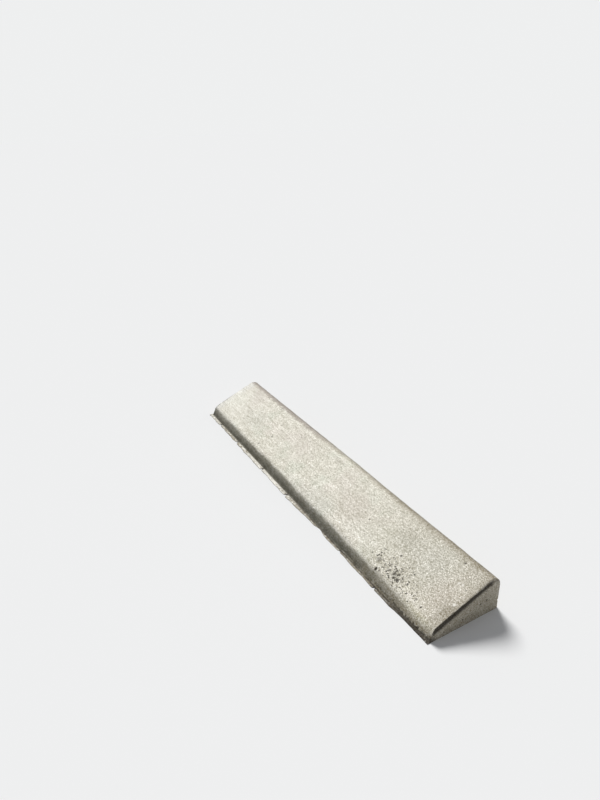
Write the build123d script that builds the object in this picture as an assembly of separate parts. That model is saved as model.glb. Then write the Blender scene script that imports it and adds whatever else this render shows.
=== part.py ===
from build123d import *
import os
from math import radians, tan

# Concrete kerb stone with a sloped top, one solid casting, lying on its flat bed.
# Millimetres. X runs along the stone, the low front face looks to -Y, and Z is up from the bed.
# The origin is at the middle of the bed, measured over the ledge at the foot of the front face.

# Length of one stone between its two joints
LENGTH = 2050.0

# Cross-section: a battered front face, a rounded knee, a long slope, a narrow crest and a rolled back edge
BODY_WIDTH = 330.0
BACK_HEIGHT = 152.0
FACE_HEIGHT = 50.0
FACE_BATTER = 27.0
CREST_WIDTH = 14.0
KNEE_RADIUS = 35.0
SHOULDER_RADIUS = 60.0
BACK_ROLL_RADIUS = 38.0

# Edges worked round with an edging tool at the two ends
END_ARRIS_RADIUS = 10.0

# Thin ledge of the same concrete along the foot of the front face
LEDGE_REACH = 22.0
LEDGE_THICKNESS = 6.0
LEDGE_ARRIS_RADIUS = 4.0

# Places across the stone, counted from the middle of the bed
BACK = (BODY_WIDTH + LEDGE_REACH) / 2
FACE_FOOT = BACK - BODY_WIDTH
LEDGE_EDGE = FACE_FOOT - LEDGE_REACH
KNEE = FACE_FOOT + FACE_HEIGHT * tan(radians(FACE_BATTER))
CREST = BACK - BACK_ROLL_RADIUS - CREST_WIDTH


def stone_section():
    """Outline of the stone across its length, without the ledge."""
    with BuildSketch(Plane.YZ) as section:
        with BuildLine():
            FilletPolyline(
                (FACE_FOOT, 0),
                (KNEE, FACE_HEIGHT),
                (CREST, BACK_HEIGHT),
                (BACK, BACK_HEIGHT),
                (BACK, 0),
                radius=(KNEE_RADIUS, SHOULDER_RADIUS, BACK_ROLL_RADIUS),
            )
            Line((BACK, 0), (FACE_FOOT, 0))
        make_face()
    return section.sketch


def ledge_section():
    """Outline of the ledge, which runs under the front face to the middle of the stone."""
    middle = (FACE_FOOT + BACK) / 2
    with BuildSketch(Plane.YZ) as section:
        with BuildLine():
            FilletPolyline(
                (LEDGE_EDGE, 0),
                (LEDGE_EDGE, LEDGE_THICKNESS),
                (middle, LEDGE_THICKNESS),
                radius=(LEDGE_ARRIS_RADIUS,),
            )
            Polyline((middle, LEDGE_THICKNESS), (middle, 0), (LEDGE_EDGE, 0))
        make_face()
    return section.sketch


def round_ends(stone):
    """Round every edge of the two end faces except the one on the bed."""
    ends = stone.faces().filter_by(Axis.X)
    bed = stone.faces().sort_by(Axis.Z)[0]
    return fillet(ends.edges() - bed.edges(), END_ARRIS_RADIUS)


def kerb_stone():
    """The whole casting, centred on the origin along its length."""
    stone = round_ends(extrude(stone_section(), amount=LENGTH / 2, both=True))
    ledge = extrude(ledge_section(), amount=LENGTH / 2, both=True)
    return stone + ledge


os.makedirs("parts", exist_ok=True)
export_step(kerb_stone(), "parts/kerb_stone.step")
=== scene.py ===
from math import cos, pi, radians, sin, tan

import bpy
import numpy as np
from mathutils import Matrix, Quaternion, Vector
from mathutils.geometry import delaunay_2d_cdt


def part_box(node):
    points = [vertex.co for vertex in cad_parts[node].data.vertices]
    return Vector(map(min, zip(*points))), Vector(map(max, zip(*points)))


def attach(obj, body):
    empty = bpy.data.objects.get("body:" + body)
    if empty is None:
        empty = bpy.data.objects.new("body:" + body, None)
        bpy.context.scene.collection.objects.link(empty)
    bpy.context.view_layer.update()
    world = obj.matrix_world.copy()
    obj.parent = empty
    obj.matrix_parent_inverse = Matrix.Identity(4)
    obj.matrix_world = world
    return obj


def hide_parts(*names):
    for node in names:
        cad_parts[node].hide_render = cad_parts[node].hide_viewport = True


# A weathered concrete kerb stone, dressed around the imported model.
# Metres. X runs along the stone, the low front face looks to -Y, and Z is up from the bed.

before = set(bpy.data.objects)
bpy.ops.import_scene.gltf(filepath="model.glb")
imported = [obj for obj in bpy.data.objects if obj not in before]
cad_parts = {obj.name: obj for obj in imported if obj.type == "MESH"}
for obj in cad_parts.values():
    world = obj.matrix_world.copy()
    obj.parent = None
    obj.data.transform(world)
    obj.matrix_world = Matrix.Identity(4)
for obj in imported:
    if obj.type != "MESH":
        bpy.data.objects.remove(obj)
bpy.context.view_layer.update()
stone_low, stone_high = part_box("kerb_stone")

# The camera stands where the photograph was taken, and its right side dips a little
CAMERA_PLACE = Vector((2.1097, -1.1975, 1.6735))
CAMERA_AIM = Vector((-0.901, 0.4031, 0.0))
CAMERA_ROLL = radians(-2.28)
CAMERA_LENS_MM = 26.43
CAMERA_SENSOR_MM = 36.0
CAMERA_REACH = 300

# Sizes of the section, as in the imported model
FACE_HEIGHT = 0.050
FACE_BATTER = radians(27)
CREST_WIDTH = 0.014
KNEE_RADIUS = 0.035
SHOULDER_RADIUS = 0.060
BACK_ROLL_RADIUS = 0.038
END_ARRIS_RADIUS = 0.010
LEDGE_REACH = 0.022

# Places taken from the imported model's box
HALF_LENGTH = stone_high.x
BACK = stone_high.y
BACK_HEIGHT = stone_high.z
FACE_FOOT = stone_low.y + LEDGE_REACH
KNEE = FACE_FOOT + FACE_HEIGHT * tan(FACE_BATTER)
CREST = BACK - BACK_ROLL_RADIUS - CREST_WIDTH
SLOPE_RISE = (BACK_HEIGHT - FACE_HEIGHT) / (CREST - KNEE)

# How finely the skin is divided
SKIN_STEP = 0.0036
STATION_STEP = 0.0042
END_RING_COUNT = 6
END_GRID_STEP = 0.006
END_GRID_MARGIN = 0.55 * END_GRID_STEP

# Edges that turn more sharply than this are shaded as edges
SHARP_ANGLE = radians(50)

# Limits below which a length counts as nothing, two points as one, and two directions as alike
TINY = 1e-12
SAME_POINT = 1e-7
SAME_DIRECTION = 1e-6


# Heights of worn concrete, as smooth random fields

def soft_noise(u, v, size_u, size_v, seed):
    """Smooth random heights from -1 to 1 at the places u, v, with bumps of the given sizes."""
    u, v = np.broadcast_arrays(u / size_u + 100.0, v / size_v + 100.0)
    cell_u = np.floor(u).astype(int)
    cell_v = np.floor(v).astype(int)
    heights = np.random.default_rng(seed).uniform(-1, 1, (cell_u.max() + 2, cell_v.max() + 2))
    part_u = u - cell_u
    part_v = v - cell_v
    ease_u = part_u**3 * (part_u * (part_u * 6 - 15) + 10)
    ease_v = part_v**3 * (part_v * (part_v * 6 - 15) + 10)
    low = heights[cell_u, cell_v] * (1 - ease_u) + heights[cell_u + 1, cell_v] * ease_u
    high = heights[cell_u, cell_v + 1] * (1 - ease_u) + heights[cell_u + 1, cell_v + 1] * ease_u
    return low * (1 - ease_v) + high * ease_v


def noise_along(x, size, seed):
    """The same, changing only along the stone."""
    return soft_noise(x, 0.0, size, 1.0, seed)


def hollow(u, v, size_u, size_v, depth, seed):
    """Gentle hollows from nothing to the given depth."""
    return depth * (0.5 + 0.5 * soft_noise(u, v, size_u, size_v, seed))


def smooth_step(value, start, end):
    """0 before start, 1 after end, and a smooth rise between."""
    part = np.clip((value - start) / (end - start), 0, 1)
    return part * part * (3 - 2 * part)


def bell(value, middle, width):
    """1 at the middle, falling away on both sides over the width."""
    return np.exp(-(((value - middle) / width) ** 2))


# The outline across the stone, from the foot of the front face over the top to the foot of the back

def rounded_outline(corners, radii, step):
    """Points and outward directions along a polyline whose inner corners are rounded."""
    points, outwards = [], []
    corners = [np.array(corner, float) for corner in corners]
    start = corners[0]
    for index in range(1, len(corners)):
        along = corners[index] - corners[index - 1]
        along /= np.linalg.norm(along)
        outward = np.array((-along[1], along[0]))
        last = index == len(corners) - 1
        if last:
            stop = corners[index]
        else:
            onward = corners[index + 1] - corners[index]
            onward /= np.linalg.norm(onward)
            radius = radii[index - 1]
            turn = np.arccos(np.clip(along @ onward, -1, 1))
            stop = corners[index] - along * radius * tan(turn / 2)
        count = max(1, round(np.linalg.norm(stop - start) / step))
        for part in np.arange(count) / count:
            points.append(start + (stop - start) * part)
            outwards.append(outward)
        if last:
            points.append(stop)
            outwards.append(outward)
            break
        centre = stop - outward * radius
        count = max(3, round(radius * turn / step))
        for angle in np.arange(count) / count * turn:
            swung = outward * cos(angle) + along * sin(angle)
            points.append(centre + swung * radius)
            outwards.append(swung)
        start = corners[index] + onward * radius * tan(turn / 2)
    return np.array(points), np.array(outwards)


def stations():
    """Places along the stone, and how far round the end arris each one is, from 0 to a quarter turn."""
    straight = HALF_LENGTH - END_ARRIS_RADIUS
    count = round(2 * straight / STATION_STEP)
    middle = np.linspace(-straight, straight, count + 1)
    turns = np.arange(1, END_RING_COUNT + 1) / END_RING_COUNT * pi / 2
    end = straight + END_ARRIS_RADIUS * np.sin(turns)
    places = np.concatenate((-end[::-1], middle, end))
    angles = np.concatenate((turns[::-1], np.zeros(count + 1), turns))
    return places, angles


# The thin ledge of concrete at the foot. Its profile runs from the bed over the rim to the face, in shares
# of its reach and thickness, and the rim's weights belong to the first points of the profile.
LEDGE_PROFILE = ((0.0, 0.0), (0.0, 0.42), (0.05, 0.78), (0.16, 0.95), (0.35, 1.0), (0.55, 1.0), (0.8, 1.0))
LEDGE_RIM = (1.0, 1.0, 0.5)
LEDGE_MEAN_REACH = 0.0172
LEDGE_RAGGEDNESS = 0.0062
LEDGE_REACH_LIMITS = (0.002, 0.0212)
LEDGE_THICKNESS = 0.0022
LEDGE_UNEVENNESS = 0.0007
LEDGE_THICKNESS_LIMITS = (0.0012, 0.0058)

# Layers of the ragged rim: size along the stone, share and seed. The thickness has one layer.
LEDGE_WAVES = (
    (0.16, 0.60, 21),
    (0.045, 0.35, 22),
    (0.014, 0.20, 23),
)
LEDGE_THICKNESS_WAVE = (0.05, 24)

# Along the stone: where the ledge gets narrower and narrower still, its gap and its cracks
LEDGE_NARROWING = (-0.05, 0.35)
LEDGE_NEAR_NARROWING = (0.78, 0.92)
LEDGE_GAP = 0.29
LEDGE_GAP_WIDTH = 0.030
LEDGE_CRACKS = (-0.86, -0.62, -0.29, -0.02, 0.46, 0.71)
LEDGE_CRACK_WIDTH = 0.0045


def ledge_shape(x):
    """The ledge's reach from the face foot and its thickness, at each station."""
    ragged = 0.0
    for size, share, seed in LEDGE_WAVES:
        ragged += share * noise_along(x, size, seed)
    reach = LEDGE_MEAN_REACH + LEDGE_RAGGEDNESS * ragged
    reach *= 1 - 0.40 * smooth_step(x, *LEDGE_NARROWING)
    reach *= 1 - 0.80 * bell(x, LEDGE_GAP, LEDGE_GAP_WIDTH)
    reach *= 1 - 0.40 * smooth_step(x, *LEDGE_NEAR_NARROWING)
    thickness = LEDGE_THICKNESS + LEDGE_UNEVENNESS * noise_along(x, *LEDGE_THICKNESS_WAVE)
    for place in LEDGE_CRACKS:
        notch = bell(x, place, LEDGE_CRACK_WIDTH)
        reach *= 1 - 0.75 * notch
        thickness *= 1 - 0.5 * notch
    return np.clip(reach, *LEDGE_REACH_LIMITS), np.clip(thickness, *LEDGE_THICKNESS_LIMITS)


# Layers of wear: size of the hollows along the stone, size round the section, depth and seed. Wear of the
# front face fades out between two heights.
SKIN_HOLLOWS = (
    (0.42, 0.13, 0.0022, 1),
    (0.11, 0.07, 0.0010, 2),
    (0.026, 0.022, 0.0004, 3),
    (0.0095, 0.0095, 0.00015, 4),
)
FACE_HOLLOWS = (
    (0.15, 0.045, 0.0024, 5),
    (0.035, 0.018, 0.0012, 6),
)
FACE_WEAR_FADE = (0.040, 0.066)
BACK_EDGE_HOLLOWS = (
    (0.19, 0.30, 0.0026, 7),
    (0.03, 0.02, 0.0012, 8),
)

# The worn channel behind the crest, in stretches that are deeper towards the far end
CHANNEL_PLACE = CREST + 0.020
CHANNEL_WIDTH = 0.009
CHANNEL_DEPTH = 0.0017
CHANNEL_STRETCH = 0.26
CHANNEL_SEED = 9

# Layers of wear on the end faces: sizes across and up, and depth. Each end's seeds count up from its own.
END_HOLLOWS = (
    (0.09, 0.07, 0.0014),
    (0.022, 0.020, 0.0007),
    (0.009, 0.009, 0.0004),
)
FAR_END_SEED = 41
NEAR_END_SEED = 51

# Chips in the end arrises: their length, the size of the fine breaks in them, and the noise at which a chip
# begins and at which it is full. Each end has a row of the coarse noise of its own.
CHIP_DEPTH = 0.0045
CHIP_LENGTH = 0.017
CHIP_BREAKS = (0.006, 0.007)
CHIP_SPAN = (0.55, 1.2)
CHIP_SEEDS = (31, 32)


def worn_depth(x, girth, y, z):
    """How far wear and casting leave the skin inside its nominal place."""
    everywhere = 1.0
    face = (1 - smooth_step(z, *FACE_WEAR_FADE)) * (y < 0)
    back_edge = smooth_step(y, CREST, CREST + 0.03) * smooth_step(z, BACK_HEIGHT - 0.06, BACK_HEIGHT - 0.02)
    depth = 0.0
    for area, layers in ((everywhere, SKIN_HOLLOWS), (face, FACE_HOLLOWS), (back_edge, BACK_EDGE_HOLLOWS)):
        for layer in layers:
            depth += area * hollow(x, girth, *layer)
    channel = bell(y, CHANNEL_PLACE, CHANNEL_WIDTH) * (z > BACK_HEIGHT / 2)
    stretches = smooth_step(noise_along(x, CHANNEL_STRETCH, CHANNEL_SEED) - 0.9 * x, -0.5, 0.7)
    return depth + channel * stretches * CHANNEL_DEPTH


def end_depth(y, z, first_seed):
    """The same for an end face."""
    return sum(hollow(y, z, *layer, first_seed + number) for number, layer in enumerate(END_HOLLOWS))


def arris_chips(x, girth, angle):
    """Small bites out of the rounded edge at each end."""
    coarse_seed, fine_seed = CHIP_SEEDS
    own_row = np.sign(x) * 5
    bite = soft_noise(own_row, girth, 1.0, CHIP_LENGTH, coarse_seed)
    bite += 0.5 * soft_noise(x, girth, *CHIP_BREAKS, fine_seed)
    near_arris = np.sin(np.clip(angle * 1.6 + 0.25, 0, pi))
    return near_arris * (angle > 0) * CHIP_DEPTH * smooth_step(bite, *CHIP_SPAN)


def body_rings(x, angle, thickness):
    """The body's points at every station, from the ledge over the stone to the foot of the back."""
    corners = (
        (FACE_FOOT, 0),
        (KNEE, FACE_HEIGHT),
        (CREST, BACK_HEIGHT),
        (BACK, BACK_HEIGHT),
        (BACK, 0),
    )
    radii = (KNEE_RADIUS, SHOULDER_RADIUS, BACK_ROLL_RADIUS)
    points, outwards = rounded_outline(corners, radii, SKIN_STEP)
    girth = np.concatenate(((0,), np.cumsum(np.linalg.norm(np.diff(points, axis=0), axis=1))))[None]

    # The flat of the face is squeezed up onto the ledge, and its foot stays level round the end arrises
    face_end = np.argmax(np.linalg.norm(outwards - outwards[0], axis=1) > SAME_DIRECTION)
    share = np.ones(len(points))
    share[:face_end] = points[:face_end, 1] / points[face_end, 1]
    up_the_face = np.array((tan(FACE_BATTER), 1.0))
    level = np.array((1 / cos(FACE_BATTER), 0.0))
    lift = (thickness[:, None] * (1 - share))[..., None] * up_the_face
    inward = -outwards * share[:, None] + level * (1 - share)[:, None]
    inset = END_ARRIS_RADIUS * (1 - np.cos(angle))
    section = points[None] + lift + inset[:, None, None] * inward

    # Wear moves each point in along the direction that its place on the skin faces
    y, z = section[..., 0], section[..., 1]
    across = np.ones(len(points))
    x_grid = x[:, None] * across
    side = np.sign(x)[:, None]
    turned, straight = np.sin(angle)[:, None], np.cos(angle)[:, None]
    worn_end = np.where(side < 0, end_depth(y, z, FAR_END_SEED), end_depth(y, z, NEAR_END_SEED))
    depth = worn_depth(x_grid, girth, y, z) * (1 - turned) + worn_end * turned
    depth += arris_chips(x_grid, girth, angle[:, None])
    outward_y, outward_z = outwards.T
    facing = np.stack((side * turned * across, straight * outward_y, straight * outward_z), axis=-1)
    body = np.stack((x_grid, y, z), axis=-1) - facing * depth[..., None]
    body[:, 0, 2] = thickness
    body[:, -1, 2] = 0
    return body


def ledge_rings(foot, reach, thickness):
    """The ledge's points at every station, from the bed over its rim to the foot of the face."""
    fraction, height = np.array(LEDGE_PROFILE).T
    tip = (FACE_FOOT - reach)[:, None]
    ledge = np.empty((len(foot), len(fraction), 3))
    ledge[..., 0] = foot[:, :1]
    ledge[..., 1] = tip + fraction * (foot[:, 1:2] - tip)
    ledge[..., 2] = height * thickness[:, None]
    return ledge


def stone_skin():
    """Vertices and faces of the whole surface, and how near each side vertex is to the ledge's rim."""
    x, angle = stations()
    reach, thickness = ledge_shape(x)
    body = body_rings(x, angle, thickness)
    ledge = ledge_rings(body[:, 0], reach, thickness)
    skin = np.concatenate((ledge, body), axis=1)
    station_count, ring_size = skin.shape[:2]
    rim = np.zeros((station_count, ring_size))
    rim[:, :len(LEDGE_RIM)] = LEDGE_RIM
    number = np.arange(station_count * ring_size).reshape(station_count, ring_size)
    here, onward = number[:-1], number[1:]
    sides = np.stack((here[:, :-1], onward[:, :-1], onward[:, 1:], here[:, 1:]), axis=-1)
    bed = np.stack((onward[:, 0], here[:, 0], here[:, -1], onward[:, -1]), axis=-1)
    vertices = skin.reshape(-1, 3).tolist()
    faces = sides.reshape(-1, 4).tolist() + bed.tolist()
    for ring, seed in ((number[0], FAR_END_SEED), (number[-1], NEAR_END_SEED)):
        add_end_face(vertices, faces, ring.tolist(), seed)
    return vertices, faces, rim.ravel()


def add_end_face(vertices, faces, ring, seed):
    """Fill one end with small triangles inside its ring of vertices."""
    outer = np.array([vertices[index] for index in ring])
    side = np.sign(outer[0, 0])
    outline = outer[:, 1:]
    rows = np.arange(END_GRID_STEP, BACK_HEIGHT, END_GRID_STEP)
    columns = np.arange(FACE_FOOT, BACK, END_GRID_STEP)
    grid = [Vector((y, z)) for y in columns for z in rows]
    kept = [point for point in grid if inside_by(point, outline, END_GRID_MARGIN)]
    edge = [Vector(point) for point in outline]
    loop = [(index, (index + 1) % len(ring)) for index in range(len(ring))]
    within_the_loop = 1
    flat, _, triangles, origins, _, _ = delaunay_2d_cdt(edge + kept, loop, [], within_the_loop, SAME_POINT)
    names = []
    for place, origin in zip(flat, origins):
        if origin and origin[0] < len(ring):
            names.append(ring[origin[0]])
            continue
        depth = float(end_depth(np.array([place.x]), np.array([place.y]), seed)[0])
        names.append(len(vertices))
        vertices.append([side * (HALF_LENGTH - depth), place.x, place.y])
    for triangle in triangles:
        corners = [names[index] for index in triangle]
        faces.append(corners if side > 0 else corners[::-1])


def inside_by(point, outline, margin):
    """Whether a point lies inside a closed outline and at least the margin from it."""
    start = outline
    end = np.roll(outline, -1, axis=0)
    along = end - start
    place = np.array(point)
    part = np.clip(((place - start) * along).sum(1) / np.maximum((along**2).sum(1), TINY), 0, 1)
    nearest = np.linalg.norm(start + along * part[:, None] - place, axis=1).min()
    crosses = (start[:, 1] > place[1]) != (end[:, 1] > place[1])
    climb = np.where(along[:, 1] == 0, TINY, along[:, 1])
    crossing = start[:, 0] + (place[1] - start[:, 1]) * along[:, 0] / climb
    return nearest > margin and (crosses & (place[0] < crossing)).sum() % 2 == 1


def add_object(name, data):
    """A new object in the scene."""
    added = bpy.data.objects.new(name, data)
    bpy.context.scene.collection.objects.link(added)
    return added


def make_stone():
    """The dressed stone as one object."""
    vertices, faces, rim = stone_skin()
    mesh = bpy.data.meshes.new("kerb_stone_casting")
    mesh.from_pydata(vertices, [], faces)
    weights = np.zeros(len(vertices), dtype=np.float32)
    weights[:len(rim)] = rim
    mesh.attributes.new("rim", "FLOAT", "POINT").data.foreach_set("value", weights)
    mesh.shade_smooth()
    mesh.set_sharp_from_angle(angle=SHARP_ANGLE)
    mesh.validate()
    return add_object("kerb_stone_casting", mesh)


# Materials

class Graph:
    """Builds the nodes of one material. Each method returns the new node's output."""

    def __init__(self, name):
        self.material = bpy.data.materials.new(name)
        self.material.use_nodes = True
        self.nodes = self.material.node_tree.nodes
        self.links = self.material.node_tree.links
        self.shader = self.nodes["Principled BSDF"]
        self.place = self.nodes.new("ShaderNodeTexCoord").outputs["Object"]

    def set(self, socket, value):
        """Give an input a plain value, or link an output to it."""
        if isinstance(value, bpy.types.NodeSocket):
            self.links.new(value, socket)
        else:
            socket.default_value = value

    def axes(self):
        """The three coordinates of the place."""
        node = self.nodes.new("ShaderNodeSeparateXYZ")
        self.set(node.inputs[0], self.place)
        return node.outputs

    def operate(self, kind, operation, values):
        """A new node of a kind that does one operation on the values, with all its outputs."""
        node = self.nodes.new(kind)
        node.operation = operation
        for socket, value in zip(node.inputs, values):
            self.set(socket, value)
        return node.outputs

    def math(self, operation, *values):
        """One step of arithmetic with numbers."""
        return self.operate("ShaderNodeMath", operation, values)["Value"]

    def vector_math(self, operation, *values):
        """One step of arithmetic with vectors, whose result is a number only for a length."""
        results = self.operate("ShaderNodeVectorMath", operation, values)
        return results["Value" if operation == "LENGTH" else "Vector"]

    def add(self, first, second):
        return self.math("ADD", first, second)

    def subtract(self, first, second):
        return self.math("SUBTRACT", first, second)

    def times(self, first, *others):
        for other in others:
            first = self.math("MULTIPLY", first, other)
        return first

    def times_add(self, value, factor, more):
        """The value times the factor, and then some more."""
        return self.math("MULTIPLY_ADD", value, factor, more)

    def distance(self, value, place=0.0):
        """How far the value is from a place, on either side of it."""
        return self.math("ABSOLUTE", self.subtract(value, place))

    def rise(self, value, start, end, low=0.0, high=1.0):
        """A smooth change from low to high while the value goes from start to end."""
        node = self.nodes.new("ShaderNodeMapRange")
        node.interpolation_type = "SMOOTHSTEP"
        for name, given in (
            ("Value", value),
            ("From Min", start),
            ("From Max", end),
            ("To Min", low),
            ("To Max", high),
        ):
            self.set(node.inputs[name], given)
        return node.outputs[0]

    def sway(self, cloud, reach):
        """Clouds as shifts from minus the reach to plus the reach, for ragged and wavy edges."""
        return self.rise(cloud, 0.2, 0.8, -reach, reach)

    def at(self, stretch=(1, 1, 1), shift=(0, 0, 0)):
        """The place, moved and squeezed."""
        node = self.nodes.new("ShaderNodeMapping")
        self.set(node.inputs["Vector"], self.place)
        node.inputs["Location"].default_value = shift
        node.inputs["Scale"].default_value = stretch
        return node.outputs[0]

    def noise(self, size, detail=2.0, roughness=0.5, place=None, distortion=0.0):
        """Clouds about size across, from 0 to 1 around one half."""
        node = self.nodes.new("ShaderNodeTexNoise")
        self.set(node.inputs["Vector"], place or self.place)
        node.inputs["Scale"].default_value = 1 / size
        node.inputs["Detail"].default_value = detail
        node.inputs["Roughness"].default_value = roughness
        node.inputs["Distortion"].default_value = distortion
        return node.outputs["Fac"]

    def grains(self, size, place=None):
        """Distance from the middle of each grain, and a random number for the grain."""
        node = self.nodes.new("ShaderNodeTexVoronoi")
        self.set(node.inputs["Vector"], place or self.place)
        node.inputs["Scale"].default_value = 1 / size
        parts = self.nodes.new("ShaderNodeSeparateColor")
        self.set(parts.inputs[0], node.outputs["Color"])
        return node.outputs["Distance"], parts.outputs[0]

    def shaken(self, size, reach):
        """The place, pushed about by clouds of the given size, for ragged outlines."""
        cloud = self.nodes.new("ShaderNodeTexNoise")
        self.set(cloud.inputs["Vector"], self.place)
        cloud.inputs["Scale"].default_value = 1 / size
        push = self.vector_math("MULTIPLY_ADD", cloud.outputs["Color"], (2 * reach,) * 3, (-reach,) * 3)
        return self.vector_math("ADD", self.place, push)

    def spot(self, centre, radius, softness=0.5, stretch=(1, 1, 1), place=None):
        """1 within the radius of a place, fading to 0 outside it."""
        apart = self.vector_math("SUBTRACT", place or self.place, centre)
        distance = self.vector_math("LENGTH", self.vector_math("MULTIPLY", apart, stretch))
        return self.rise(distance, radius * (1 - softness), radius * (1 + softness), 1.0, 0.0)

    def weight(self, name):
        """A number that the mesh holds at each vertex."""
        node = self.nodes.new("ShaderNodeAttribute")
        node.attribute_name = name
        return node.outputs["Fac"]

    def mix(self, amount, first, second):
        """The first colour, going over to the second as the amount goes from 0 to 1."""
        node = self.nodes.new("ShaderNodeMix")
        node.data_type = "RGBA"
        self.set(node.inputs["Factor"], amount)
        for name, value in (("A", first), ("B", second)):
            socket = next(s for s in node.inputs if s.name == name and s.type == "RGBA")
            self.set(socket, value if isinstance(value, bpy.types.NodeSocket) else (*value, 1.0))
        return next(s for s in node.outputs if s.type == "RGBA")

    def coat(self, colour, tint, *amounts):
        """The colour with a tint over it, as thick as all the amounts multiplied."""
        return self.mix(self.times(*amounts), colour, tint)

    def shade(self, colour, factor):
        """The colour made lighter or darker by a factor, with its tint no stronger or weaker."""
        grey = self.nodes.new("ShaderNodeRGBToBW")
        self.set(grey.inputs[0], colour)
        return self.vector_math("ADD", colour, self.times(grey.outputs[0], self.subtract(factor, 1.0)))

    def bump(self, height, distance, normal=None):
        """The shading normal, with relief from a height on top of an earlier normal."""
        node = self.nodes.new("ShaderNodeBump")
        node.inputs["Distance"].default_value = distance
        self.set(node.inputs["Height"], height)
        if normal is not None:
            self.set(node.inputs["Normal"], normal)
        return node.outputs[0]


# Colours of the concrete and of what has settled on it, several of them also used as painted shade
CREAM = (0.825, 0.801, 0.706)
PINKISH = (0.822, 0.784, 0.700)
GREENISH = (0.790, 0.790, 0.690)
SOILED_AND_SHADED = (0.665, 0.636, 0.543)
FAR_END_WHITE = (0.880, 0.880, 0.850)
FACE_GRIME_AND_SHADE = (0.300, 0.287, 0.233)
FOOT_GRIME_AND_SHADE = (0.118, 0.111, 0.084)
BROWN_GRIME_AND_SHADE = (0.440, 0.385, 0.275)
LIME = (0.770, 0.752, 0.690)
DULL_STAIN_AND_SHADE = (0.330, 0.295, 0.230)
ROSE_SHADE = (0.370, 0.330, 0.295)
DARK_GRIME_AND_SHADE = (0.052, 0.045, 0.035)
DARK_GRAIN = (0.046, 0.038, 0.028)
PALE_GRAIN = (0.900, 0.875, 0.810)

# Soft clouds of tint on the slope: place, size, how much longer than wide, colour and strength
CLOUDS = (
    (-0.91, -0.030, 0.080, 1.6, (0.890, 0.875, 0.785), 0.70),
    (-0.83, 0.095, 0.045, 2.0, (0.770, 0.710, 0.655), 0.50),
    (-0.66, -0.020, 0.055, 1.6, (0.680, 0.680, 0.610), 0.38),
    (-0.25, 0.060, 0.060, 1.5, (0.800, 0.750, 0.680), 0.40),
    (0.03, -0.112, 0.022, 6.0, (0.610, 0.600, 0.530), 0.50),
    (0.05, 0.104, 0.013, 3.5, (0.620, 0.600, 0.520), 0.55),
    (0.15, -0.085, 0.045, 1.6, (0.640, 0.630, 0.560), 0.36),
    (0.34, -0.005, 0.060, 1.5, (0.670, 0.610, 0.540), 0.50),
    (0.24, -0.095, 0.032, 1.6, (0.640, 0.640, 0.570), 0.50),
    (0.47, -0.072, 0.040, 2.2, (0.860, 0.840, 0.755), 0.50),
    (0.58, 0.010, 0.050, 1.4, (0.630, 0.620, 0.520), 0.40),
    (0.66, 0.040, 0.045, 1.3, (0.500, 0.480, 0.410), 0.40),
    (0.68, -0.132, 0.010, 2.2, (0.400, 0.380, 0.320), 0.60),
    (0.82, 0.040, 0.075, 1.4, (0.660, 0.660, 0.600), 0.35),
    (0.96, -0.030, 0.090, 0.8, (0.620, 0.565, 0.490), 0.60),
    (0.97, 0.105, 0.040, 1.3, (0.540, 0.500, 0.430), 0.45),
    (0.99, -0.058, 0.034, 0.8, (0.430, 0.400, 0.330), 0.45),
    # The last two are pale streaks along the knee towards the near end: partly a cleaner worn edge, partly
    # painted highlight.
    (0.85, -0.108, 0.027, 3.2, (0.870, 0.835, 0.740), 0.58),
    (0.94, -0.131, 0.009, 8.5, (0.880, 0.835, 0.680), 0.88),
)

# Single dark crumbs and spots on the slope: place, radius and strength
SPOTS = (
    (-0.432, -0.028, 0.0060, 0.55),
    (-0.590, 0.118, 0.0100, 0.25),
    (0.645, -0.090, 0.0110, 0.50),
    (0.667, -0.122, 0.0062, 1.00),
    (0.686, -0.118, 0.0050, 0.45),
    (0.697, -0.023, 0.0048, 0.85),
    (0.700, -0.071, 0.0045, 0.55),
    (0.715, -0.091, 0.0055, 0.65),
    (0.741, -0.090, 0.0062, 0.80),
    (0.758, -0.079, 0.0055, 0.75),
    (0.752, -0.101, 0.0055, 0.80),
    (0.768, -0.097, 0.0062, 0.80),
    (0.792, -0.116, 0.0050, 0.45),
    (0.815, -0.084, 0.0042, 0.55),
    (0.883, -0.098, 0.0048, 0.55),
    (0.903, 0.113, 0.0042, 0.80),
)

# Single pale grains on the slope: place and radius
PALE_SPOTS = (
    (0.997, -0.022, 0.0058),
    (0.946, 0.044, 0.0046),
    (0.962, 0.048, 0.0044),
)
SPOT_STRETCH = (1, 1, 0.2)


def on_slope(x, y):
    """The place on the slope above a point of the bed."""
    return x, y, FACE_HEIGHT + (y - KNEE) * SLOPE_RISE


# Broad tints: sizes of the clouds, and where along the stone the whiter far end and the darker near third
# begin and are full
PATCH_SIZE = 0.055
PINK_SIZE = 0.16
GREEN_SIZE = 0.12
FAR_END_WHITE_SPAN = (-HALF_LENGTH + 0.075, -HALF_LENGTH + 0.025)
FAR_END_WHITE_STRENGTH = 0.60
SOILING_AND_SHADE_SPAN = (0.15, 0.85)
SOILING_AND_SHADE_STRENGTH = 0.85


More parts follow.
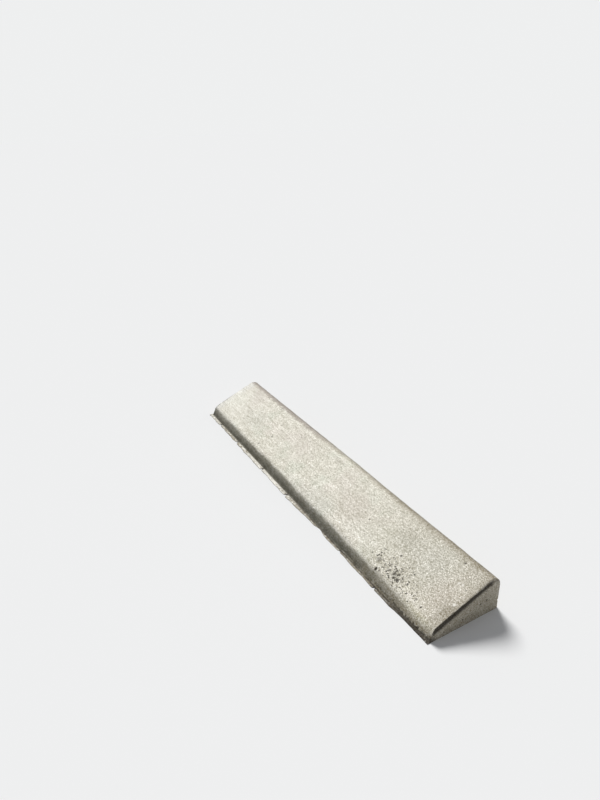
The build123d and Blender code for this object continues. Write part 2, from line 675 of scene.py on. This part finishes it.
def slope_colour(g, x, patches):
    """Clean colour of the top, with broad tints, a whiter far end and a near third darkened by soiling and
    painted shade.
    """
    pink = g.rise(g.noise(PINK_SIZE, place=g.at(shift=(3, 1, 2))), 0.42, 0.70)
    green = g.rise(g.noise(GREEN_SIZE, place=g.at(shift=(7, 4, 5))), 0.50, 0.72)
    far_whitening = g.rise(g.add(x, g.sway(patches, 0.02)), *FAR_END_WHITE_SPAN)
    soiling_and_shade = g.rise(g.add(x, g.sway(patches, 0.15)), *SOILING_AND_SHADE_SPAN)
    colour = g.mix(pink, CREAM, PINKISH)
    colour = g.coat(colour, GREENISH, green)
    colour = g.coat(colour, FAR_END_WHITE, far_whitening, FAR_END_WHITE_STRENGTH)
    # The near third is darker partly from soiling and partly from painted shade where the light falls off
    # along the stone.
    colour = g.coat(colour, SOILED_AND_SHADED, soiling_and_shade, SOILING_AND_SHADE_STRENGTH)
    for cloud_x, cloud_y, size, length, tint, strength in CLOUDS:
        cloud = g.spot((cloud_x, cloud_y, 0), size, 0.9, (1 / length, 1, 0))
        colour = g.coat(colour, tint, cloud, strength)
    return colour


# Lightness: sizes of the mottling and the streaks, and the sizes and contrasts of the grain.
# The far end is smoother than the rest, and the near end is sandier.
MOTTLE_SIZE = 0.34
STREAK_WIDTH = 0.0080
STREAK_SQUEEZE = 0.065
GRAIN_LAYERS = ((0.0043, 2.00), (0.0260, 0.30))
SINGLE_GRAIN_SIZE = 0.0036
SINGLE_GRAIN_CONTRAST = 0.65


def surface_tone(g, x, patches):
    """How light or dark the mottling, the streaks along the stone and the grain make each place."""
    tone = g.rise(g.noise(MOTTLE_SIZE), 0.25, 0.75, 0.97, 1.03)
    tone = g.times(tone, g.rise(patches, 0.25, 0.75, 0.95, 1.05))
    along = g.at(stretch=(STREAK_SQUEEZE, 1, 1))
    streaks = g.subtract(g.noise(STREAK_WIDTH, roughness=0.6, place=along, distortion=0.3), 0.5)
    streaking = g.rise(x, 0.45, 0.85, 0.66, 0.25)
    tone = g.times(tone, g.times_add(streaks, streaking, 1.0))
    sandiness = g.times(g.rise(x, -0.90, -0.62, 0.70, 1.0), g.rise(x, 0.56, 0.72, 0.94, 1.12))
    for size, contrast in GRAIN_LAYERS:
        grain = g.times(g.subtract(g.noise(size, roughness=0.75), 0.5), sandiness)
        tone = g.times(tone, g.times_add(grain, contrast, 1.0))
    _, chance = g.grains(SINGLE_GRAIN_SIZE)
    single_grains = g.times(g.subtract(chance, 0.5), sandiness)
    return g.times(tone, g.times_add(single_grains, SINGLE_GRAIN_CONTRAST, 1.0))


# Grime and painted shade on the front face: the heights between which they fade out, slow shifts of this
# edge along the stone as start, end and the shift at each, and its waves as size and reach
GRIME_AND_SHADE_FADE_START = 0.0355
GRIME_AND_SHADE_FADE_END = 0.0495
EDGE_SHIFTS = (
    (-0.95, -0.86, -0.0036, 0.0),
    (-0.55, -0.40, 0.0020, -0.0018),
    (-0.12, 0.02, 0.0, 0.0018),
)
EDGE_WAVES = ((0.10, 0.0035), (0.018, 0.0028))

# Where the far end's own share of the face's grime and painted shade, and of the ledge's dirt, begins and
# is full
FAR_SPAN = (-0.72, -0.88)

# A thinner place in the grime and painted shade low on the near face
WORN_PLACE = (0.725, 0, 0.016)
WORN_RADIUS = 0.011
WORN_STRETCH = (0.13, 0, 1)
WORN_STRENGTH = 0.30


def face_grime_and_shade(g, colour, x, y, z, patches):
    """Grime and painted shade over the front face: darkest low down, browner and thinner near the end, wavy
    along its top.
    """
    height = z
    for start, end, low, high in EDGE_SHIFTS:
        height = g.add(height, g.rise(x, start, end, low, high))
    for size, reach in EDGE_WAVES:
        height = g.add(height, g.sway(g.noise(size), reach))
    far = g.rise(x, *FAR_SPAN)
    near = g.rise(x, 0.36, 0.88)
    near_by_steps = g.add(g.rise(x, 0.30, 0.55, 0.0, 0.45), g.rise(x, 0.80, 1.00, 0.0, 0.55))
    fade_start = g.times_add(near_by_steps, -0.0180, g.times_add(far, -0.0050, GRIME_AND_SHADE_FADE_START))
    fade_end = g.times_add(near, -0.0115, g.times_add(far, 0.0030, GRIME_AND_SHADE_FADE_END))
    front = g.rise(y, KNEE + 0.030, KNEE + 0.016)
    above_ledge = g.rise(y, FACE_FOOT - 0.0008, FACE_FOOT + 0.0008)
    # The face's darkness is painted: partly grime, partly the shade that the face lies in, deepest low
    # down.
    grime_and_shade = g.times(g.rise(height, fade_start, fade_end, 1.0, 0.0), front, above_ledge)
    browning = g.rise(g.add(x, g.sway(patches, 0.1)), 0.45, 0.90, 0.0, 0.65)
    tint = g.mix(g.rise(height, 0.010, 0.038), FOOT_GRIME_AND_SHADE, FACE_GRIME_AND_SHADE)
    tint = g.coat(tint, BROWN_GRIME_AND_SHADE, browning)
    blotches = g.rise(g.noise(0.028, 3.0, 0.6), 0.25, 0.75, 0.86, 1.0)
    thinning = g.times(g.rise(x, 0.55, 0.95, 1.0, 0.84), g.rise(x, 0.93, 1.00, 1.0, 0.76))
    worn = g.times(g.spot(WORN_PLACE, WORN_RADIUS, 0.8, WORN_STRETCH), WORN_STRENGTH)
    return g.coat(colour, tint, grime_and_shade, blotches, thinning, g.subtract(1.0, worn))


# The ledge's crust: its cleanest place along the stone, and the half widths within which its cracks and the
# seam at the foot of the face are dark and outside which they have faded out
CRUST_CLEANEST = -0.28
CRACK_HALF_WIDTHS = (0.0055, 0.0090)
SEAM_PLACE = FACE_FOOT - 0.0010
SEAM_HALF_WIDTHS = (0.0015, 0.0060)


def ledge_crust_and_shade(g, colour, x, y, patches):
    """The ledge: a lime crust, cleanest in its far middle, with cracks, and a dark rim and seam that are
    partly dirt and partly painted shade.
    """
    ledge = g.rise(y, FACE_FOOT + 0.0010, FACE_FOOT - 0.0010)
    dirt = g.rise(g.distance(x, CRUST_CLEANEST), 0.14, 0.42, -0.10, 0.09)
    dirt = g.subtract(dirt, g.rise(x, *FAR_SPAN, 0.0, 0.11))
    crust = g.mix(g.rise(g.add(g.noise(0.011, 3.0, 0.6), dirt), 0.42, 0.62), LIME, DULL_STAIN_AND_SHADE)
    # The rim is darkened partly with dirt and partly with painted shadow where the ledge meets the ground.
    crust = g.coat(crust, DARK_GRIME_AND_SHADE, g.weight("rim"), 0.60)
    crust = g.coat(crust, DARK_GRIME_AND_SHADE, g.rise(x, 0.82, 0.95), g.rise(patches, 0.3, 0.7, 0.60, 0.90))
    colour = g.mix(ledge, colour, crust)
    for place in LEDGE_CRACKS:
        crack = g.rise(g.distance(x, place), *CRACK_HALF_WIDTHS, 1.0, 0.0)
        colour = g.coat(colour, DARK_GRIME_AND_SHADE, crack, ledge, 0.95)
    # The dark seam at the face's foot is partly dirt and partly painted shade in the crease.
    seam = g.rise(g.distance(y, SEAM_PLACE), *SEAM_HALF_WIDTHS, 1.0, 0.0)
    along = g.rise(x, -0.25, 0.35, 0.0, 0.95)
    gaps = g.rise(g.noise(0.020, 2.0, 0.6), 0.35, 0.60, 0.6, 1.0)
    return g.coat(colour, DARK_GRIME_AND_SHADE, seam, along, gaps)


# The rolled back edge: places across the stone where its painted shade begins and where it is full. Both
# change along the stone, from the first value to the second. A darker line of painted shade lies on its
# outer side.
SHADE_BAND_START = (CREST - 0.010, CREST - 0.024)
SHADE_BAND_FULL = (CREST + 0.013, CREST + 0.022)
SHADE_BAND_PALEST = 0.10
BACK_SHADE_LINE_SPAN = (CREST + 0.014, CREST + 0.032)
BACK_SHADE_LINE_STRENGTH = 0.36


def back_edge_shade_and_stain(g, colour, x, y, z, patches):
    """The rolled back edge with painted shade and a darker painted line, and the stain of the back face
    under it.
    """
    ragged_y = g.add(y, g.sway(g.noise(0.030, 3.0, 0.6), 0.006))
    # Painted shade where the rolled back edge turns away from the light: rose-grey at the far end, duller
    # near.
    shade_band = g.rise(ragged_y, g.rise(x, 0.30, 0.95, *SHADE_BAND_START), g.rise(x, -0.45, 0.05, *SHADE_BAND_FULL))
    strength = g.rise(g.distance(x, SHADE_BAND_PALEST), 0.10, 0.40, 0.62, 0.88)
    far = g.rise(g.add(x, g.sway(patches, 0.2)), -0.35, 0.20, 1.0, 0.0)
    colour = g.coat(colour, g.mix(far, DULL_STAIN_AND_SHADE, ROSE_SHADE), shade_band, strength)
    # A darker line of painted shade on the outer side of the roll.
    shade_line = g.rise(ragged_y, *BACK_SHADE_LINE_SPAN)
    fading = g.rise(z, BACK_HEIGHT - 0.060, BACK_HEIGHT - 0.016, 0.3, 1.0)
    colour = g.coat(colour, DARK_GRIME_AND_SHADE, shade_line, fading, BACK_SHADE_LINE_STRENGTH)
    back_face = g.rise(y, BACK - 0.010, BACK - 0.003)
    under_roll = g.rise(z, BACK_HEIGHT - 0.018, BACK_HEIGHT - 0.045)
    return g.coat(colour, DULL_STAIN_AND_SHADE, back_face, under_roll, g.rise(patches, 0.3, 0.7, 0.35, 0.75))


def below_top(g, y, z):
    """How far under the top of the stone a place lies."""
    top = g.times_add(g.subtract(y, KNEE), SLOPE_RISE, FACE_HEIGHT)
    return g.subtract(g.math("MINIMUM", top, BACK_HEIGHT), z)


def end_face_stain_and_shade(g, colour, x, y, z, patches):
    """The end faces: a dull stain, damp low down, with dark grime and painted shade that hang from their
    top edge.
    """
    end = g.rise(g.distance(x), HALF_LENGTH - 0.0055, HALF_LENGTH - 0.0015)
    damp = g.rise(g.add(z, g.sway(patches, 0.03)), 0.0, 0.075, 0.25, 0.0)
    stain = g.add(g.rise(patches, 0.3, 0.7, 0.20, 0.66), damp)
    colour = g.coat(colour, g.mix(stain, SOILED_AND_SHADED, DULL_STAIN_AND_SHADE), end)
    ragged = g.sway(g.noise(0.014, 3.0, 0.6), 0.00375)
    # Below the top edge the end is darkened partly by grime and partly by painted shade, as in the gap of a
    # joint.
    hanging_grime_and_shade = g.rise(g.add(below_top(g, y, z), ragged), 0.003, 0.017, 0.85, 0.0)
    return g.coat(colour, DARK_GRIME_AND_SHADE, end, hanging_grime_and_shade)


# The strip of painted shade before the near end: where it begins and is full, and how much wider it is low
# down
SHADE_STRIP_SPAN = (HALF_LENGTH - 0.040, HALF_LENGTH - 0.008)
SHADE_STRIP_STRENGTH = 0.56
SHADE_STRIP_WIDENING = 0.028

# Distance from the middle of the stone to the grime and painted shade on the end arrises, at the knee and
# at the crest
ARRIS_START = (HALF_LENGTH - 0.0100, HALF_LENGTH - 0.0050)
ARRIS_FADE = 0.0026
ARRIS_FAR_WIDENING = 0.0025


def end_edge_grime_and_shade(g, colour, x, y, z, patches):
    """A strip of painted shade before the near end, and dark grime with painted shade on the arrises of
    both ends.
    """
    # Painted shade on the top beside the near joint, wider low down.
    widening = g.rise(y, 0.02, -0.11, 0.0, SHADE_STRIP_WIDENING)
    shade_strip = g.rise(g.add(x, widening), *SHADE_STRIP_SPAN, 0.0, SHADE_STRIP_STRENGTH)
    above_knee = g.rise(y, KNEE - 0.010, KNEE + 0.030, 0.35, 1.0)
    colour = g.coat(colour, DULL_STAIN_AND_SHADE, shade_strip, above_knee, g.rise(patches, 0.25, 0.65, 0.75, 1.0))
    # The arrises are darkened partly by grime and partly by painted shade, as in the gap of a joint.
    start = g.rise(y, KNEE - 0.010, CREST, *ARRIS_START)
    start = g.subtract(start, g.rise(x, 0.1, -0.1, 0.0, ARRIS_FAR_WIDENING))
    ragged_x = g.add(g.distance(x), g.sway(g.noise(0.040), 0.0010))
    arris = g.rise(g.subtract(ragged_x, start), 0.0, ARRIS_FADE, 0.0, 0.96)
    near_top = g.rise(below_top(g, y, z), 0.030, 0.012)
    before_roll = g.rise(y, CREST + 0.014, CREST - 0.004, 0.25, 1.0)
    return g.coat(colour, DARK_GRIME_AND_SHADE, arris, near_top, before_roll)


def corner_grime(g, colour, x, y, z):
    """Damp grime along the foot towards the near end, and in the corner there."""
    ragged = g.rise(g.noise(0.012, 3.0, 0.7), 0.25, 0.75, -0.007, 0.007)
    low = g.rise(g.add(z, ragged), 0.013, 0.006)
    foot = g.times(g.rise(x, 0.56, 0.92), low, g.rise(y, FACE_FOOT + 0.03, FACE_FOOT + 0.01))
    corner = g.spot((HALF_LENGTH, FACE_FOOT + 0.010, 0.004), 0.020, 0.8)
    return g.coat(colour, DARK_GRIME_AND_SHADE, g.math("MAXIMUM", foot, corner), 0.90)


# The patch of dark crumbs on the near part of the slope and its thick middle: place, radius, softness and
# stretch, and the share of the grains there that are dark
CRUMB_PATCH = ((0.748, -0.097, 0.0), 0.050, 0.75, (0.46, 1, 0))
CRUMB_MIDDLE = ((0.751, -0.094, 0.0), 0.020, 0.7, (0.8, 1, 0))
PATCH_CROWDING = 0.27
MIDDLE_CROWDING = 0.38

# Layers of crumbs: size, and the share of the grains that are dark all over the stone
CRUMB_LAYERS = ((0.0092, 0.0010), (0.0058, 0.0030))

# A finer grain is pale when its random number is above this limit, which is lower in the patch
PALE_LIMIT = 0.995
PALE_LIMIT_SHIFT = -0.30

# Ragged outlines of the crumbs: size and reach
CRUMB_RAGGEDNESS = (0.005, 0.0028)


def crumbs(g, colour, y):
    """Dark crumbs and grains: sparse everywhere, thick in one patch, with a few larger ones alone."""
    place = g.shaken(*CRUMB_RAGGEDNESS)
    above_knee = g.rise(y, KNEE - 0.004, KNEE + 0.014)
    patch = g.times(g.spot(*CRUMB_PATCH), above_knee)
    middle = g.spot(*CRUMB_MIDDLE)
    smudge = g.rise(g.noise(0.009, 2.0, 0.6), 0.35, 0.60, 0.04, 0.28)
    colour = g.coat(colour, DARK_GRAIN, middle, smudge)
    crowding = g.add(g.times(patch, PATCH_CROWDING), g.times(middle, MIDDLE_CROWDING))
    for size, sparse in CRUMB_LAYERS:
        distance, chance = g.grains(size, place)
        chosen = g.math("LESS_THAN", chance, g.add(crowding, sparse))
        colour = g.coat(colour, DARK_GRAIN, chosen, g.rise(distance, 0.36, 0.46, 1.0, 0.0), 0.97)
    pale = g.math("GREATER_THAN", chance, g.times_add(patch, PALE_LIMIT_SHIFT, PALE_LIMIT))
    colour = g.coat(colour, PALE_GRAIN, pale, g.rise(distance, 0.25, 0.45, 0.7, 0.0))
    for spot_x, spot_y, radius, strength in SPOTS:
        spot = g.spot(on_slope(spot_x, spot_y), radius, 0.45, SPOT_STRETCH, place)
        colour = g.coat(colour, DARK_GRAIN, spot, strength)
    for spot_x, spot_y, radius in PALE_SPOTS:
        spot = g.spot(on_slope(spot_x, spot_y), radius, 0.4, SPOT_STRETCH, place)
        colour = g.coat(colour, PALE_GRAIN, spot)
    return colour


# Layers of air holes: their spacing, and the share of the places that has one. Their outlines are ragged,
# by size and reach.
HOLE_LAYERS = ((0.0300, 0.35), (0.0150, 0.22))
HOLE_RAGGEDNESS = (0.008, 0.002)


def air_holes(g, x, y):
    """1 inside the small air holes that a mould leaves on the upright back and end faces."""
    place = g.shaken(*HOLE_RAGGEDNESS)
    on_end = g.rise(g.distance(x), HALF_LENGTH - 0.0030, HALF_LENGTH - 0.0020)
    on_back = g.rise(y, BACK - 0.0055, BACK - 0.0040)
    holes = 0.0
    for spacing, share in HOLE_LAYERS:
        distance, chance = g.grains(spacing, place)
        round_hole = g.rise(distance, 0.10, 0.16, 1.0, 0.0)
        holes = g.math("MAXIMUM", holes, g.times(round_hole, g.math("LESS_THAN", chance, share)))
    return g.times(holes, g.math("MAXIMUM", on_end, on_back))


# Finish: sizes of the sand and the grit, how deep these and the air holes look, and the shine
SAND_SIZE = 0.0030
GRIT_SIZE = 0.0070
GRAIN_DEPTH = 0.0008
HOLE_DEPTH = 0.0025
STONE_SPECULAR = 0.3


def finish(g, colour, holes):
    """Give the shader the colour, a rough sandy surface and the depth of the air holes."""
    sand = g.noise(SAND_SIZE, roughness=0.7)
    grit = g.noise(GRIT_SIZE, roughness=0.6)
    normal = g.bump(grit, GRAIN_DEPTH)
    normal = g.bump(sand, GRAIN_DEPTH, normal)
    normal = g.bump(g.subtract(1.0, holes), HOLE_DEPTH, normal)
    g.set(g.shader.inputs["Base Color"], colour)
    g.set(g.shader.inputs["Roughness"], g.rise(grit, 0.2, 0.8, 0.97, 0.86))
    g.set(g.shader.inputs["Specular IOR Level"], STONE_SPECULAR)
    g.set(g.shader.inputs["Normal"], normal)


def concrete_material():
    """Worn concrete: sandy grain, mottling, a front face darkened by grime and painted shade, and a near
    end darkened by soiling and painted shade.
    """
    g = Graph("concrete")
    x, y, z = g.axes()
    patches = g.noise(PATCH_SIZE, 3.0, 0.6)
    colour = slope_colour(g, x, patches)
    colour = face_grime_and_shade(g, colour, x, y, z, patches)
    colour = ledge_crust_and_shade(g, colour, x, y, patches)
    colour = back_edge_shade_and_stain(g, colour, x, y, z, patches)
    colour = end_face_stain_and_shade(g, colour, x, y, z, patches)
    colour = end_edge_grime_and_shade(g, colour, x, y, z, patches)
    colour = corner_grime(g, colour, x, y, z)
    colour = g.shade(colour, surface_tone(g, x, patches))
    colour = crumbs(g, colour, y)
    holes = air_holes(g, x, y)
    # The air holes are darkened with painted shade.
    colour = g.coat(colour, DARK_GRIME_AND_SHADE, holes, 0.75)
    finish(g, colour, holes)
    return g.material


# Studio

FLOOR_COLOUR = (0.850, 0.862, 0.880)
FLOOR_SEEN = (0.858, 0.865, 0.867)
FLOOR_RADIUS = 60.0
FLOOR_SIDES = 48
KEY_DIRECTION = Vector((-0.68, 0.20, 0.70))
KEY_COLOUR = (1.0, 0.985, 0.955)
KEY_STRENGTH = 3.3
KEY_SPREAD = radians(22)
FILL_COLOUR = (0.97, 0.98, 1.0)
FILL_STRENGTH = 0.28


def add_floor():
    """A wide round floor in one plain pale tone."""
    mesh = bpy.data.meshes.new("floor")
    angles = np.arange(FLOOR_SIDES) / FLOOR_SIDES * 2 * pi
    corners = [(FLOOR_RADIUS * cos(angle), FLOOR_RADIUS * sin(angle), 0) for angle in angles]
    mesh.from_pydata(corners, [], [list(range(FLOOR_SIDES))])
    floor = add_object("floor", mesh)
    material = bpy.data.materials.new("floor")
    material.use_nodes = True
    shader = material.node_tree.nodes["Principled BSDF"]
    shader.inputs["Base Color"].default_value = (*FLOOR_COLOUR, 1)
    shader.inputs["Roughness"].default_value = 1.0
    shader.inputs["Specular IOR Level"].default_value = 0.0
    mesh.materials.append(material)


def add_world():
    """An even fill, which shows as the floor's own tone behind the stone and in reflections."""
    world = bpy.data.worlds.new("studio")
    world.use_nodes = True
    bpy.context.scene.world = world
    nodes, links = world.node_tree.nodes, world.node_tree.links
    lit = nodes["Background"]
    lit.inputs["Color"].default_value = (*FILL_COLOUR, 1)
    lit.inputs["Strength"].default_value = FILL_STRENGTH
    seen = nodes.new("ShaderNodeBackground")
    seen.inputs["Color"].default_value = (*FLOOR_SEEN, 1)
    ray = nodes.new("ShaderNodeLightPath")
    shown = ray.outputs["Is Camera Ray"]
    for kind in ("Is Glossy Ray", "Is Transmission Ray"):
        either = nodes.new("ShaderNodeMath")
        either.operation = "MAXIMUM"
        links.new(shown, either.inputs[0])
        links.new(ray.outputs[kind], either.inputs[1])
        shown = either.outputs[0]
    choose = nodes.new("ShaderNodeMixShader")
    links.new(shown, choose.inputs["Fac"])
    links.new(lit.outputs[0], choose.inputs[1])
    links.new(seen.outputs[0], choose.inputs[2])
    links.new(choose.outputs[0], nodes["World Output"].inputs["Surface"])


def add_key():
    """The one key light, as broad as a thinly veiled sun."""
    light = bpy.data.lights.new("key", "SUN")
    light.energy = KEY_STRENGTH
    light.angle = KEY_SPREAD
    light.color = KEY_COLOUR
    key = add_object("key", light)
    key.rotation_mode = "QUATERNION"
    key.rotation_quaternion = KEY_DIRECTION.to_track_quat("Z", "Y")


def add_camera():
    """The camera, with the photograph's lens and tilt."""
    data = bpy.data.cameras.new("camera")
    data.lens = CAMERA_LENS_MM
    data.sensor_width = CAMERA_SENSOR_MM
    data.clip_end = CAMERA_REACH
    camera = add_object("camera", data)
    turn = (CAMERA_AIM - CAMERA_PLACE).to_track_quat("-Z", "Y") @ Quaternion((0, 0, 1), CAMERA_ROLL)
    camera.matrix_world = Matrix.LocRotScale(CAMERA_PLACE, turn, None)
    bpy.context.scene.camera = camera


add_camera()
add_floor()
add_world()
add_key()
bpy.context.scene.view_settings.view_transform = "Standard"

stone = make_stone()
stone.data.materials.append(concrete_material())
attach(stone, "root")
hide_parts("kerb_stone")
